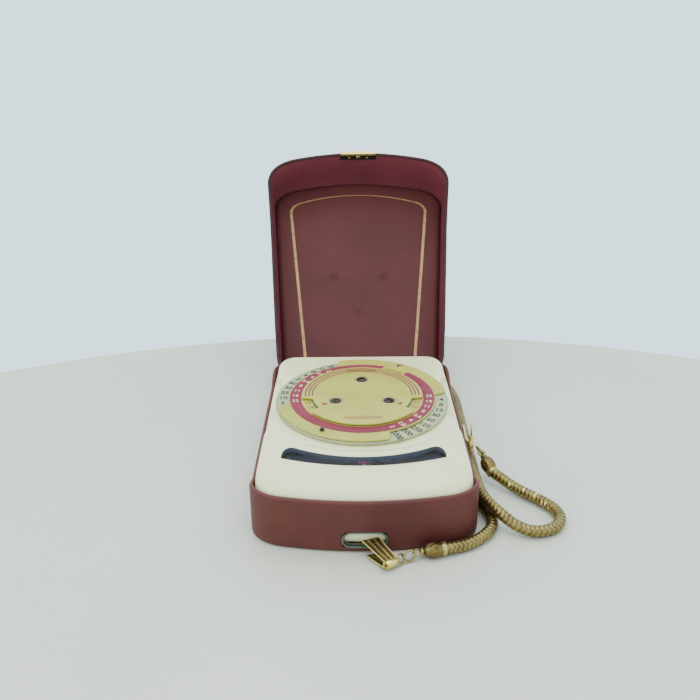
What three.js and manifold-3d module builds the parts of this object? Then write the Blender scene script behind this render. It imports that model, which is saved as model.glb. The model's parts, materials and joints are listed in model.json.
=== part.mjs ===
// Selenium match-needle light meter in its leather ever-ready case, lid folded open, with a snake chain.
// Millimetres, +Z up, +X to the right, +Y towards the hinge of the case.
// Origin: centre of the underside of the leather tray, on the surface it rests on.
import * as THREE from 'three';
import { mergeVertices } from 'three/addons/utils/BufferGeometryUtils.js';
import Module from 'manifold-3d';

const wasm = await Module();
wasm.setup();

// ---- Driving dimensions -------------------------------------------------------------------------

const CASE_LENGTH = 81;             // tray, outside, front to hinge
const CASE_HALF_FRONT = 30;         // half width of the tray at its front corners
const CASE_HALF_REAR = 28.3;        // half width at the hinge
const TRAY_HEIGHT = 15.6;           // at the front and at the hinge
const TRAY_SIDE_HEIGHT = 13.2;      // where the side walls dip
const LEATHER = 1.15;
const FRONT_ARC_RADIUS = 99;        // the front wall bulges in this arc
const FRONT_CORNER = 8;
const REAR_CORNER = 6;

const METER_GAP = 0.3;              // between tray wall and meter
const METER_BOTTOM = 2;
const SHELL = 1.6;                  // wall of the plastic housings
const PARTING = 8.5;                // joint between lower and upper housing
const DECK = 18.4;                  // top face of the upper housing
const HOOD_ROUND = 7;               // rounding of the front edge of the hood

const DIAL_Y = 6.9;                 // centre of the calculator dial
const DIAL_RADIUS = 25.3;
const SECTOR_RADIUS = 21.5;         // radius of the upper disc inside its two cut-away sectors
const NAME_DISC_RADIUS = 17.7;
const HUB_RADIUS = 10.8;
const SCREW_CIRCLE = 8.9;

const WINDOW_Y = -25.6;             // middle of the needle window
const WINDOW_ARC_RADIUS = 60;
const WINDOW_HALF_ANGLE = 0.362;    // radians
const WINDOW_WIDTH = 4.4;
const NEEDLE_PIVOT_Y = 14;

const HINGE_Y = 40.2;
const HINGE_Z = 14.1;
const LID_OPEN_DEG = 143;           // from closed to the open position modelled here
const LID_TOP = 25.4;               // outside of the lid when closed
const LID_RIM_FRONT = 6.5;          // rim of the lid's end wall when closed
const LID_RIM_REAR = 15.9;          // rim beside the hinge, just above the tray
const LID_RIM_SIDE = 13.5;          // rim of its side walls, just above the dip in the tray
const LID_HALF_REAR = 28;
const LID_FLARE = 0.06;             // extra half width per mm from the hinge
const LID_FRONT_GAP = 0.9;          // between the tray's front wall and the lid's end wall
const PAD_BOTTOM = 22.05;
const PAD_TOP = 23.8;

const CHAIN_DIAMETER = 3.2;

const FRONT_Y = -CASE_LENGTH / 2;
const REAR_Y = CASE_LENGTH / 2;

// ---- Materials ----------------------------------------------------------------------------------

function material(color, roughness, metalness = 0) {
  return new THREE.MeshStandardMaterial({ color, roughness, metalness });
}
const leather = material(0x6b403a, 0.6);
const padLeather = material(0x683e3c, 0.55);
const felt = material(0x5a2c2c, 0.95);
const ivory = material(0xe1e2d0, 0.3);
const dialMetal = material(0xc4c082, 0.4, 0.5);
const scaleMetal = material(0xacac8c, 0.5, 0.3);
const brass = material(0x96874f, 0.35, 0.9);
const darkMetal = material(0x3c3a36, 0.45, 0.8);
const nickel = material(0x77776f, 0.35, 0.9);
const clear = material(0xdfe3e8, 0.05);
const slate = material(0x3f4148, 0.7);
const white = material(0xf0f0ea, 0.5);
const cellGrey = material(0x2c2c30, 0.4, 0.3);
const magnetGrey = material(0x585a5e, 0.5, 0.7);
const copper = material(0x9a5a32, 0.4, 0.8);

// ---- Solids -------------------------------------------------------------------------------------

function toManifold(geometry) {
  const bare = geometry.clone();
  bare.deleteAttribute('normal');
  bare.deleteAttribute('uv');
  const merged = mergeVertices(bare, 1e-4);
  return new wasm.Manifold(new wasm.Mesh({
    numProp: 3,
    vertProperties: new Float32Array(merged.attributes.position.array),
    triVerts: new Uint32Array(merged.index.array),
  }));
}

function fromManifold(solid) {
  const mesh = solid.getMesh();
  const geometry = new THREE.BufferGeometry();
  geometry.setAttribute('position', new THREE.BufferAttribute(new Float32Array(mesh.vertProperties), 3));
  geometry.setIndex(new THREE.BufferAttribute(new Uint32Array(mesh.triVerts), 1));
  geometry.computeVertexNormals();
  return geometry;
}

function cut(base, ...tools) {
  let solid = toManifold(base);
  for (const tool of tools) {
    solid = solid.subtract(toManifold(tool));
  }
  return fromManifold(solid);
}

function join(...pieces) {
  let solid = toManifold(pieces[0]);
  for (const piece of pieces.slice(1)) {
    solid = solid.add(toManifold(piece));
  }
  return fromManifold(solid);
}

function overlap(a, b) {
  return fromManifold(toManifold(a).intersect(toManifold(b)));
}

// A box from its two corners.
function box(x0, y0, z0, x1, y1, z1) {
  const geometry = new THREE.BoxGeometry(x1 - x0, y1 - y0, z1 - z0);
  geometry.translate((x0 + x1) / 2, (y0 + y1) / 2, (z0 + z1) / 2);
  return geometry;
}

// An upright cylinder standing on z0.
function post(x, y, z0, z1, radius, sides = 24, topRadius = radius) {
  const geometry = new THREE.CylinderGeometry(topRadius, radius, z1 - z0, sides);
  geometry.rotateX(Math.PI / 2);
  geometry.translate(x, y, (z0 + z1) / 2);
  return geometry;
}

// A flat ring between z0 and z1.
function ring(x, y, z0, z1, inner, outer, sides = 48) {
  const profile = [[inner, z0], [outer, z0], [outer, z1], [inner, z1], [inner, z0]];
  const geometry = new THREE.LatheGeometry(profile.map(([r, z]) => new THREE.Vector2(r, z)), sides);
  geometry.rotateX(Math.PI / 2);
  geometry.scale(1, -1, 1);
  flip(geometry);
  geometry.translate(x, y, 0);
  return geometry;
}

// Turn every face over, after a mirroring scale.
function flip(geometry) {
  const index = geometry.index;
  for (let i = 0; i < index.count; i += 3) {
    const b = index.getX(i + 1);
    index.setX(i + 1, index.getX(i + 2));
    index.setX(i + 2, b);
  }
}

// A plate with the given outline, from z0 to z1.
function plate(points, z0, z1) {
  const outline = new THREE.Shape(points);
  const geometry = new THREE.ExtrudeGeometry(outline, { depth: z1 - z0, bevelEnabled: false });
  geometry.translate(0, 0, z0);
  return geometry;
}

// A round bar along a list of points.
function bar(points, radius, sides, steps) {
  const section = new THREE.Shape();
  for (let i = 0; i < sides; i += 1) {
    const a = (2 * Math.PI * i) / sides;
    const p = [radius * Math.cos(a), radius * Math.sin(a)];
    if (i === 0) section.moveTo(...p);
    else section.lineTo(...p);
  }
  const path = new THREE.CatmullRomCurve3(points.map((p) => new THREE.Vector3(...p)), false, 'centripetal');
  return new THREE.ExtrudeGeometry(section, { steps, extrudePath: path, bevelEnabled: false });
}

// A closed solid through outlines that all have the same number of points, from the lowest level up.
function loft(levels) {
  const count = levels[0].points.length;
  const positions = [];
  const index = [];
  for (const level of levels) {
    for (const p of level.points) {
      positions.push(p.x, p.y, level.z);
    }
  }
  for (let k = 0; k + 1 < levels.length; k += 1) {
    for (let i = 0; i < count; i += 1) {
      const a = k * count + i;
      const b = k * count + ((i + 1) % count);
      index.push(a, b, b + count, a, b + count, a + count);
    }
  }
  const top = (levels.length - 1) * count;
  for (const [a, b, c] of THREE.ShapeUtils.triangulateShape(levels[0].points, [])) {
    index.push(a, c, b);
  }
  for (const [a, b, c] of THREE.ShapeUtils.triangulateShape(levels[levels.length - 1].points, [])) {
    index.push(top + a, top + b, top + c);
  }
  const geometry = new THREE.BufferGeometry();
  geometry.setAttribute('position', new THREE.Float32BufferAttribute(positions, 3));
  geometry.setIndex(index);
  return geometry;
}

const group = new THREE.Group();

function add(parent, name, geometry, look) {
  const mesh = new THREE.Mesh(geometry, look);
  mesh.name = name;
  parent.add(mesh);
  return mesh;
}

// ---- Outlines -----------------------------------------------------------------------------------

// Wedge-shaped outline with an arched front, straight sides and four rounded corners, anticlockwise.
// front and rear are the half widths at the front corners and at the rear.
function wedge({ front, rear, yFront, yRear, arc, frontCorner, rearCorner }) {
  const points = [];
  const arcY = (x) => yFront + arc - Math.sqrt(arc * arc - x * x);
  const xa = front - frontCorner;
  for (let i = 0; i <= 8; i += 1) {
    const x = xa * (i / 4 - 1);
    points.push(new THREE.Vector2(x, arcY(x)));
  }
  const cornerY = arcY(xa) + frontCorner;
  const rearX = rear - rearCorner;
  const right = [
    ...corner([xa, arcY(xa)], [front, arcY(xa) + 0.25 * frontCorner], [front, cornerY], 6),
    ...corner([rear, yRear - rearCorner], [rear, yRear], [rearX, yRear], 5, true),
  ];
  points.push(...right);
  for (const p of right.slice().reverse()) {
    points.push(new THREE.Vector2(-p.x, p.y));
  }
  return points;
}

// Points of a rounded corner from a to b, whose tangents meet near m.
// a itself is left out unless withStart is set.
function corner(a, m, b, count, withStart = false) {
  const kappa = 0.6;
  const start = new THREE.Vector2(...a);
  const middle = new THREE.Vector2(...m);
  const end = new THREE.Vector2(...b);
  const handles = [start, end].map((p) => p.clone().lerp(middle, kappa));
  const curve = new THREE.CubicBezierCurve(start, handles[0], handles[1], end);
  const points = curve.getPoints(count);
  return withStart ? points : points.slice(1);
}

// The tray's outline moved inwards by inset on every side.
function trayOutline(inset) {
  return wedge({
    front: CASE_HALF_FRONT - inset,
    rear: CASE_HALF_REAR - inset,
    yFront: FRONT_Y + inset,
    yRear: REAR_Y - inset,
    arc: FRONT_ARC_RADIUS - inset,
    frontCorner: FRONT_CORNER - inset,
    rearCorner: REAR_CORNER - inset,
  });
}

// Outline of the meter, with separate insets for the hood's front and for the sides and rear.
function meterOutline(inset, frontInset = inset) {
  const base = LEATHER + METER_GAP;
  return wedge({
    front: CASE_HALF_FRONT - base - inset,
    rear: CASE_HALF_REAR - base - inset,
    yFront: FRONT_Y + base + frontInset,
    yRear: REAR_Y - base - inset,
    arc: FRONT_ARC_RADIUS - base - frontInset,
    frontCorner: FRONT_CORNER - base + 0.4 * frontInset,
    rearCorner: Math.max(2, REAR_CORNER - base - 0.3 * inset),
  });
}

// Outline of the lid, closed, moved inwards by inset.
function lidOutline(inset) {
  const reach = CASE_LENGTH + LID_FRONT_GAP + LEATHER;
  return wedge({
    front: LID_HALF_REAR + LID_FLARE * (reach - 9) - inset,
    rear: LID_HALF_REAR - inset,
    yFront: FRONT_Y - LID_FRONT_GAP - LEATHER + inset,
    yRear: REAR_Y - inset,
    arc: FRONT_ARC_RADIUS + LID_FRONT_GAP + LEATHER - inset,
    frontCorner: 9.5 - inset,
    rearCorner: REAR_CORNER - inset,
  });
}

// Sector of a ring as a closed outline: angles in degrees, anticlockwise from +X.
function sector(cx, cy, inner, outer, from, to, count = 12) {
  const points = [];
  const at = (r, deg) => new THREE.Vector2(
    cx + r * Math.cos(THREE.MathUtils.degToRad(deg)),
    cy + r * Math.sin(THREE.MathUtils.degToRad(deg)),
  );
  for (let i = 0; i <= count; i += 1) points.push(at(outer, from + ((to - from) * i) / count));
  for (let i = count; i >= 0; i -= 1) points.push(at(inner, from + ((to - from) * i) / count));
  return points;
}

// ---- Leather tray -------------------------------------------------------------------------------

const TRAY_FLOOR = 1.4;
const SLOT_HALF = 5.6;
const SLOT_LOW = 2;
const SLOT_HIGH = 6.2;

// The slot's section moved inwards by inset, from y0 to y1.
function slotBox(inset, y0, y1) {
  return box(-SLOT_HALF + inset, y0, SLOT_LOW + inset, SLOT_HALF - inset, y1, SLOT_HIGH - inset);
}

// A side view, as [y, z] points, made into a solid right across the case.
function sideProfile(points, halfWidth) {
  const shape = new THREE.Shape(points.map(([y, z]) => new THREE.Vector2(y, z)));
  const geometry = new THREE.ExtrudeGeometry(shape, { depth: 2 * halfWidth, bevelEnabled: false });
  geometry.rotateX(Math.PI / 2);
  geometry.rotateZ(Math.PI / 2);
  geometry.translate(-halfWidth, 0, 0);
  return geometry;
}

// What the tray's side walls lack above their dip.
const trayDip = [
  [33, TRAY_HEIGHT + 2],
  [-32, TRAY_HEIGHT + 2],
  [-32, TRAY_HEIGHT],
  [-29.5, TRAY_HEIGHT - 0.5],
  [-26, TRAY_SIDE_HEIGHT + 0.4],
  [-23.5, TRAY_SIDE_HEIGHT],
  [27, TRAY_SIDE_HEIGHT],
  [30, TRAY_SIDE_HEIGHT + 1.2],
  [33, TRAY_HEIGHT],
];

add(group, 'case_tray', cut(
  loft([
    { points: trayOutline(0.8), z: 0 },
    { points: trayOutline(0), z: 0.8 },
    { points: trayOutline(0), z: TRAY_HEIGHT },
  ]),
  plate(trayOutline(LEATHER), TRAY_FLOOR, TRAY_HEIGHT + 1),
  slotBox(0, FRONT_Y - 2, FRONT_Y + LEATHER + 0.5),
  sideProfile(trayDip, 50),
), leather);

add(group, 'tray_lining', plate(trayOutline(LEATHER + 0.4), TRAY_FLOOR + 0.05, METER_BOTTOM - 0.05), felt);

// Metal eyelet in the front slot, standing slightly proud of the leather.
const eyeletRing = cut(
  slotBox(0.1, FRONT_Y - 0.25, FRONT_Y + LEATHER - 0.1),
  slotBox(0.55, FRONT_Y - 1, FRONT_Y + 3),
);
add(group, 'slot_eyelet', eyeletRing, nickel);

// Leather strip of the hinge, stitched to the rear wall below the fold.
const STRIP_HALF = 21;
const STRIP_LOW = 4.8;
const STRIP_HIGH = 8.6;
add(
  group,
  'hinge_strip',
  box(-STRIP_HALF, REAR_Y + 0.05, STRIP_LOW, STRIP_HALF, REAR_Y + 0.75, STRIP_HIGH),
  leather,
);

// ---- Meter housings -----------------------------------------------------------------------------

const meter = new THREE.Group();
group.add(meter);

const roundSteps = [0, 0.25, 0.5, 0.75, 1];
const upperOuter = loft([
  { points: meterOutline(0), z: PARTING + 0.1 },
  ...roundSteps.map((t) => {
    const a = (t * Math.PI) / 2;
    return {
      points: meterOutline(2.2 * (1 - Math.cos(a)), HOOD_ROUND * (1 - Math.cos(a))),
      z: DECK - 5.4 * (1 - Math.sin(a)),
    };
  }),
]);
const upperInner = loft([
  { points: meterOutline(SHELL), z: PARTING - 1 },
  { points: meterOutline(SHELL, SHELL + 0.6), z: DECK - 5.4 },
  { points: meterOutline(SHELL + 2, SHELL + HOOD_ROUND * 0.7), z: DECK - SHELL },
]);

// Finger recess that bares the knurled rim on one side of the dial: side is -1 or 1.
function fingerRecess(side) {
  const outline = [[23.2, -0.2], [30, -8.6], [30, 27], [24.2, 22.5]];
  const points = outline.map(([x, y]) => new THREE.Vector2(side * x, y));
  if (side < 0) points.reverse();
  return plate(points, DECK - 1.8, DECK + 2);
}

// The needle window is part of a ring round a centre behind it.
const windowCentreY = WINDOW_Y + WINDOW_ARC_RADIUS;
function windowOutline(shrink) {
  const half = THREE.MathUtils.radToDeg(WINDOW_HALF_ANGLE - shrink / WINDOW_ARC_RADIUS);
  const reach = WINDOW_WIDTH / 2 - shrink;
  const inner = WINDOW_ARC_RADIUS - reach;
  const outer = WINDOW_ARC_RADIUS + reach;
  return sector(0, windowCentreY, inner, outer, 270 - half, 270 + half, 14);
}

const LENS_HALF = 21.5;
const lensOpening = box(-LENS_HALF - 0.2, REAR_Y - 6, 4.8, LENS_HALF + 0.2, REAR_Y + 1, 15.2);
const bossPlaces = [[-19, -29], [19, -29]];

add(meter, 'upper_housing', cut(
  join(
    cut(upperOuter, upperInner, fingerRecess(-1), fingerRecess(1), plate(windowOutline(0), 10, 20)),
    ...bossPlaces.map(([x, y]) => post(x, y, PARTING - 2.5, 16, 2.2, 16)),
  ),
  lensOpening,
  ...bossPlaces.map(([x, y]) => post(x, y, PARTING - 3, 14, 0.95, 12)),
), ivory);

const lowerOuter = loft([
  { points: meterOutline(1.2), z: METER_BOTTOM },
  { points: meterOutline(0.35), z: METER_BOTTOM + 0.4 },
  { points: meterOutline(0), z: METER_BOTTOM + 1.3 },
  { points: meterOutline(0), z: PARTING },
]);
add(meter, 'lower_housing', cut(
  lowerOuter,
  plate(meterOutline(SHELL), METER_BOTTOM + SHELL, PARTING + 1),
  lensOpening,
  ...bossPlaces.map(([x, y]) => post(x, y, METER_BOTTOM - 1, PARTING, 1.1, 12)),
  ...bossPlaces.map(([x, y]) => post(x, y, METER_BOTTOM - 1, METER_BOTTOM + 1, 2.1, 16)),
), ivory);

// A slotted screw whose head's face is at z. up is 1 when the shank points up, -1 when it points down.
function slottedScrew({ x, y, z, headRadius, headHeight, shankRadius, shankLength, up }) {
  const between = (a, b) => [z + Math.min(up * a, up * b), z + Math.max(up * a, up * b)];
  const head = between(0, headHeight);
  const shank = between(headHeight - 0.05, headHeight + shankLength);
  const slot = between(-1, 0.35);
  return cut(
    join(post(x, y, ...head, headRadius, 20), post(x, y, ...shank, shankRadius, 12)),
    box(x - headRadius - 1, y - 0.2, slot[0], x + headRadius + 1, y + 0.2, slot[1]),
  );
}

bossPlaces.forEach(([x, y], i) => {
  add(meter, `housing_screw_${i + 1}`, slottedScrew({
    x,
    y,
    z: METER_BOTTOM + 0.1,
    headRadius: 1.9,
    headHeight: 0.8,
    shankRadius: 0.8,
    shankLength: 8,
    up: 1,
  }), darkMetal);
});

add(meter, 'window_pane', plate(windowOutline(0.15), 16.9, 17.7), clear);
add(
  meter,
  'scale_plate',
  plate(sector(0, windowCentreY, 56.5, 63, 250.5, 289.5, 14), 13.9, 14.4),
  slate,
);

// ---- Light cell ---------------------------------------------------------------------------------

const LENS_Y = REAR_Y - LEATHER - METER_GAP - 0.3;
add(meter, 'honeycomb_lens', box(-LENS_HALF, LENS_Y - 2.2, 5, LENS_HALF, LENS_Y, 15), clear);
add(meter, 'selenium_cell', box(-20.5, LENS_Y - 3.6, 5.2, 20.5, LENS_Y - 2.6, 14.8), cellGrey);
function contactStrip(x) {
  const foot = box(x - 1.5, LENS_Y - 9, 3.65, x + 1.5, LENS_Y - 4.2, 3.95);
  const blade = box(x - 1.5, LENS_Y - 4.5, 3.65, x + 1.5, LENS_Y - 4.2, 12);
  return join(foot, blade);
}
add(meter, 'cell_contact_left', contactStrip(-14), copper);
add(meter, 'cell_contact_right', contactStrip(14), copper);

// ---- Moving-coil movement -----------------------------------------------------------------------

const CORE_RADIUS = 3.6;
const GAP_OUTER = 5.7;
const MAGNET_RADIUS = 9.5;
add(meter, 'movement_frame', cut(
  box(-12, NEEDLE_PIVOT_Y - 11, 3.65, 12, NEEDLE_PIVOT_Y + 11, 4.15),
  post(0, NEEDLE_PIVOT_Y, 3, 5, 1.3, 16),
), brass);
add(meter, 'magnet', cut(
  post(0, NEEDLE_PIVOT_Y, 4.9, 10.9, MAGNET_RADIUS, 40),
  post(0, NEEDLE_PIVOT_Y, 4, 12, GAP_OUTER, 40),
  box(-3, NEEDLE_PIVOT_Y, 4, 3, NEEDLE_PIVOT_Y + 12, 12),
), magnetGrey);
add(meter, 'pole_core', post(0, NEEDLE_PIVOT_Y, 5.1, 10.7, CORE_RADIUS, 32), magnetGrey);
add(meter, 'movement_bridge', cut(
  join(
    box(-11.6, NEEDLE_PIVOT_Y - 2.2, 12.3, 11.6, NEEDLE_PIVOT_Y + 2.2, 12.9),
    box(-11.6, NEEDLE_PIVOT_Y - 2.2, 4.2, -10.4, NEEDLE_PIVOT_Y + 2.2, 12.5),
    box(10.4, NEEDLE_PIVOT_Y - 2.2, 4.2, 11.6, NEEDLE_PIVOT_Y + 2.2, 12.5),
  ),
  post(0, NEEDLE_PIVOT_Y, 12, 13.2, 1.1, 16),
), brass);
add(meter, 'lower_jewel_screw', post(0, NEEDLE_PIVOT_Y, 3.65, 4.3, 1.1, 16), brass);
const hairspring = [];
for (let i = 0; i <= 30; i += 1) {
  const a = (i / 30) * 2.25 * 2 * Math.PI;
  const r = 1.1 + 1.9 * (i / 30);
  hairspring.push([r * Math.cos(a), NEEDLE_PIVOT_Y + r * Math.sin(a), 13.5]);
}
add(meter, 'hairspring', bar(hairspring, 0.12, 4, 60), copper);

// The coil and its staff, turning with the needle.
const coil = cut(
  box(-5.2, NEEDLE_PIVOT_Y - 0.9, 4.5, 5.2, NEEDLE_PIVOT_Y + 0.9, 11.3),
  box(-4.2, NEEDLE_PIVOT_Y - 2, 4.9, 4.2, NEEDLE_PIVOT_Y + 2, 10.9),
);
add(group, 'moving_coil', join(coil, post(0, NEEDLE_PIVOT_Y, 11.2, 14.9, 0.45, 12)), copper);

// Needle: a thin tapering pointer with a tail, bent to its resting angle.
const NEEDLE_REST_DEG = 3.4;
const NEEDLE_LENGTH = 38.6;
const needleOutline = [
  [-0.5, 0],
  [-0.18, -NEEDLE_LENGTH],
  [0.18, -NEEDLE_LENGTH],
  [0.5, 0],
  [1.1, 5.5],
  [-1.1, 5.5],
];
const needle = plate(needleOutline.map(([x, y]) => new THREE.Vector2(x, y)), 14.95, 15.2);
needle.rotateZ(THREE.MathUtils.degToRad(NEEDLE_REST_DEG));
needle.translate(0, NEEDLE_PIVOT_Y, 0);
add(group, 'needle', needle, white);

// Follow pointer: an arm above the needle that carries the ring marker.
const MARKER_Y = -25.9;
const pointerArm = [
  [-1, NEEDLE_PIVOT_Y + 3.5],
  [-0.45, MARKER_Y + 1],
  [0.45, MARKER_Y + 1],
  [1, NEEDLE_PIVOT_Y + 3.5],
];
add(group, 'follow_pointer', cut(
  join(
    plate(pointerArm.map(([x, y]) => new THREE.Vector2(x, y)), 15.75, 16),
    post(0, NEEDLE_PIVOT_Y, 15.75, 16, 2.2, 20),
    ring(0, MARKER_Y, 15.75, 16, 0.85, 1.5, 24),
  ),
  post(0, MARKER_Y, 15, 17, 0.85, 24),
), white);

// ---- Calculator dial ----------------------------------------------------------------------------

add(meter, 'dial_hub', post(0, DIAL_Y, DECK + 0.05, 20.6, HUB_RADIUS, 48), brass);

// Knurled ring that carries the exposure-time scale.
const KNURLS = 72;
const knurled = [];
for (let i = 0; i < KNURLS * 2; i += 1) {
  const a = (i * Math.PI) / KNURLS;
  const r = DIAL_RADIUS - (i % 2 ? 0.35 : 0);
  knurled.push(new THREE.Vector2(r * Math.cos(a), DIAL_Y + r * Math.sin(a)));
}
add(group, 'time_ring', cut(
  plate(knurled, DECK + 0.2, 19.7),
  post(0, DIAL_Y, DECK - 1, 21, HUB_RADIUS + 0.3, 48),
), scaleMetal);

// Upper disc with two cut-away sectors that show the ring beneath, and a small slot.
const SPEED_DISC = [19.9, 20.4];
add(group, 'speed_disc', cut(
  post(0, DIAL_Y, SPEED_DISC[0], SPEED_DISC[1], DIAL_RADIUS - 0.2, 96),
  post(0, DIAL_Y, 19, 21, HUB_RADIUS + 0.3, 48),
  plate(sector(0, DIAL_Y, SECTOR_RADIUS, 30, -72, 5, 16), 19, 21),
  plate(sector(0, DIAL_Y, SECTOR_RADIUS, 30, 108, 191, 16), 19, 21),
  plate(sector(0, DIAL_Y, 18.6, 19.9, 50, 68, 5), 19, 21),
), dialMetal);

function polar(radius, deg) {
  const a = THREE.MathUtils.degToRad(deg);
  return [radius * Math.cos(a), DIAL_Y + radius * Math.sin(a)];
}

const studPlace = polar(22.6, -120);
add(group, 'speed_disc_stud', post(...studPlace, 20.45, 21.05, 0.75, 16, 0.55), darkMetal);

add(meter, 'friction_washer', ring(0, DIAL_Y, 20.45, 20.62, HUB_RADIUS + 0.5, 15, 48), nickel);

// Fixed name disc with two notched film-speed windows, held by three screws.
const NAME_DISC = [20.75, 21.3];
const screwPlaces = [90, 210, 330].map((deg) => polar(SCREW_CIRCLE, deg));
add(meter, 'name_disc', cut(
  post(0, DIAL_Y, NAME_DISC[0], NAME_DISC[1], NAME_DISC_RADIUS, 72),
  plate(sector(0, DIAL_Y, 14.6, 20, 188, 214, 6), 20, 22),
  plate(sector(0, DIAL_Y, 14.6, 20, 326, 352, 6), 20, 22),
  ...screwPlaces.map(([x, y]) => post(x, y, 20, 22, 1.15, 16)),
), dialMetal);
screwPlaces.forEach(([x, y], i) => {
  add(meter, `dial_screw_${i + 1}`, slottedScrew({
    x,
    y,
    z: 21.7,
    headRadius: 1.5,
    headHeight: 0.35,
    shankRadius: 0.95,
    shankLength: 0.6,
    up: -1,
  }), darkMetal);
});

// ---- Lid, built closed and turned open about the hinge --------------------------------------------

const lid = new THREE.Group();
lid.position.set(0, HINGE_Y, HINGE_Z);
lid.rotation.x = -THREE.MathUtils.degToRad(LID_OPEN_DEG);
group.add(lid);

function addToLid(name, geometry, look) {
  geometry.translate(0, -HINGE_Y, -HINGE_Z);
  add(lid, name, geometry, look);
}

// Side view of what lies below the lid's rim: shallow along the tray, deep over its front.
const belowRim = [
  [REAR_Y + 3, LID_RIM_FRONT - 4],
  [REAR_Y + 3, LID_RIM_REAR],
  [31, LID_RIM_REAR],
  [28.5, LID_RIM_SIDE + 1.2],
  [26, LID_RIM_SIDE],
  [-15, LID_RIM_SIDE],
  [-20, LID_RIM_SIDE - 1.3],
  [-29, LID_RIM_FRONT + 2.2],
  [-33, LID_RIM_FRONT + 0.7],
  [-37, LID_RIM_FRONT],
  [FRONT_Y - 6, LID_RIM_FRONT],
  [FRONT_Y - 6, LID_RIM_FRONT - 4],
];

const END_WALL_Y = FRONT_Y - LID_FRONT_GAP;
const rivetPlaces = [[-3.6, 9], [3.6, 9]];
function acrossPost(x, z, y0, y1, radius, sides) {
  const geometry = new THREE.CylinderGeometry(radius, radius, y1 - y0, sides);
  geometry.translate(x, (y0 + y1) / 2, z);
  return geometry;
}

addToLid('lid_shell', cut(
  loft([
    { points: lidOutline(0), z: LID_RIM_FRONT - 3 },
    { points: lidOutline(0), z: LID_TOP - 2.4 },
    { points: lidOutline(0.7), z: LID_TOP - 0.7 },
    { points: lidOutline(2.4), z: LID_TOP },
  ]),
  plate(lidOutline(LEATHER), LID_RIM_FRONT - 4, LID_TOP - LEATHER),
  sideProfile(belowRim, 50),
  ...rivetPlaces.map(([x, z]) => acrossPost(x, z, END_WALL_Y - LEATHER - 1, END_WALL_Y + 1, 0.55, 12)),
), leather);

addToLid('lid_pad', loft([
  { points: lidOutline(LEATHER + 1.9), z: PAD_BOTTOM },
  { points: lidOutline(LEATHER + 0.7), z: PAD_BOTTOM + 0.7 },
  { points: lidOutline(LEATHER + 0.5), z: PAD_TOP },
]), padLeather);

const CLASP_HALF = 5.3;
const CLASP_TIP = 5;
addToLid('lid_clasp', cut(
  join(
    box(-CLASP_HALF, END_WALL_Y + 0.25, CLASP_TIP, CLASP_HALF, END_WALL_Y + 0.55, 10.4),
    box(-CLASP_HALF, END_WALL_Y - LEATHER - 0.2, CLASP_TIP, CLASP_HALF, END_WALL_Y + 0.55, CLASP_TIP + 1.1),
  ),
  ...rivetPlaces.map(([x, z]) => acrossPost(x, z, END_WALL_Y - 3, END_WALL_Y + 2, 0.55, 12)),
), brass);
const claspStud = new THREE.SphereGeometry(0.8, 12, 8);
claspStud.scale(1, 0.3, 1);
claspStud.translate(0, END_WALL_Y + 0.6, 7.3);
addToLid('clasp_stud', overlap(claspStud, box(-2, END_WALL_Y + 0.6, 5, 2, END_WALL_Y + 2, 10)), brass);
rivetPlaces.forEach(([x, z], i) => {
  addToLid(`clasp_rivet_${i + 1}`, join(
    acrossPost(x, z, END_WALL_Y - LEATHER - 0.6, END_WALL_Y - LEATHER - 0.1, 1, 16),
    acrossPost(x, z, END_WALL_Y - LEATHER - 0.3, END_WALL_Y + 0.5, 0.45, 10),
  ), brass);
});

// ---- Chain and its two spring clips ---------------------------------------------------------------

// Each clip is built along +X from its hinge barrel and then placed.
const LEAF = 0.5;
const BARREL_RADIUS = 1.15;

// rollDeg turns it about its own length first.
function placed(x, y, z, turnDeg, rollDeg = 0) {
  const holder = new THREE.Group();
  holder.position.set(x, y, z);
  holder.rotation.set(THREE.MathUtils.degToRad(rollDeg), 0, THREE.MathUtils.degToRad(turnDeg), 'ZYX');
  group.add(holder);
  return holder;
}

// A cylinder along the clip's own Y axis.
function sideways(radius, y0, y1, sides = 16) {
  const geometry = new THREE.CylinderGeometry(radius, radius, y1 - y0, sides);
  geometry.translate(0, (y0 + y1) / 2, 0);
  return geometry;
}

function leafPlate(outline, tiltDeg, lift) {
  const geometry = plate(outline.map(([x, y]) => new THREE.Vector2(x, y)), lift, lift + LEAF);
  geometry.rotateY(-THREE.MathUtils.degToRad(tiltDeg));
  return geometry;
}

// ballEnd is 1 or -1: the end of the hinge pin that carries the ball, along the clip's own Y.
function addClip({ side, holder, upper, upperTilt, lower, ballEnd }) {
  const hole = new THREE.CylinderGeometry(0.45, 0.45, 8, 12);
  hole.rotateX(Math.PI / 2);
  hole.translate(upper[1][0] - 1.6, 0, 2);
  add(holder, `${side}_clip_jaw`, cut(leafPlate(upper, upperTilt, 0.75), hole), brass);
  add(holder, `${side}_clip_base`, leafPlate(lower, 0, -1.25), brass);
  add(holder, `${side}_clip_spring`, cut(
    sideways(BARREL_RADIUS - 0.45, -1.5, 1.5),
    sideways(0.42, -3, 3, 12),
  ), brass);
  const ball = new THREE.SphereGeometry(0.62, 12, 8);
  ball.translate(0, 2.5 * ballEnd, 0);
  add(holder, `${side}_clip_pin`, join(sideways(0.35, -2.4, 2.4, 12), ball), brass);
}

// A round link of wire standing in the plane given by its turn about X.
function wireRing(radius, wire, tiltX, tiltY) {
  const geometry = new THREE.TorusGeometry(radius, wire, 8, 20);
  geometry.rotateX(THREE.MathUtils.degToRad(tiltX));
  geometry.rotateY(THREE.MathUtils.degToRad(tiltY));
  return geometry;
}

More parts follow.
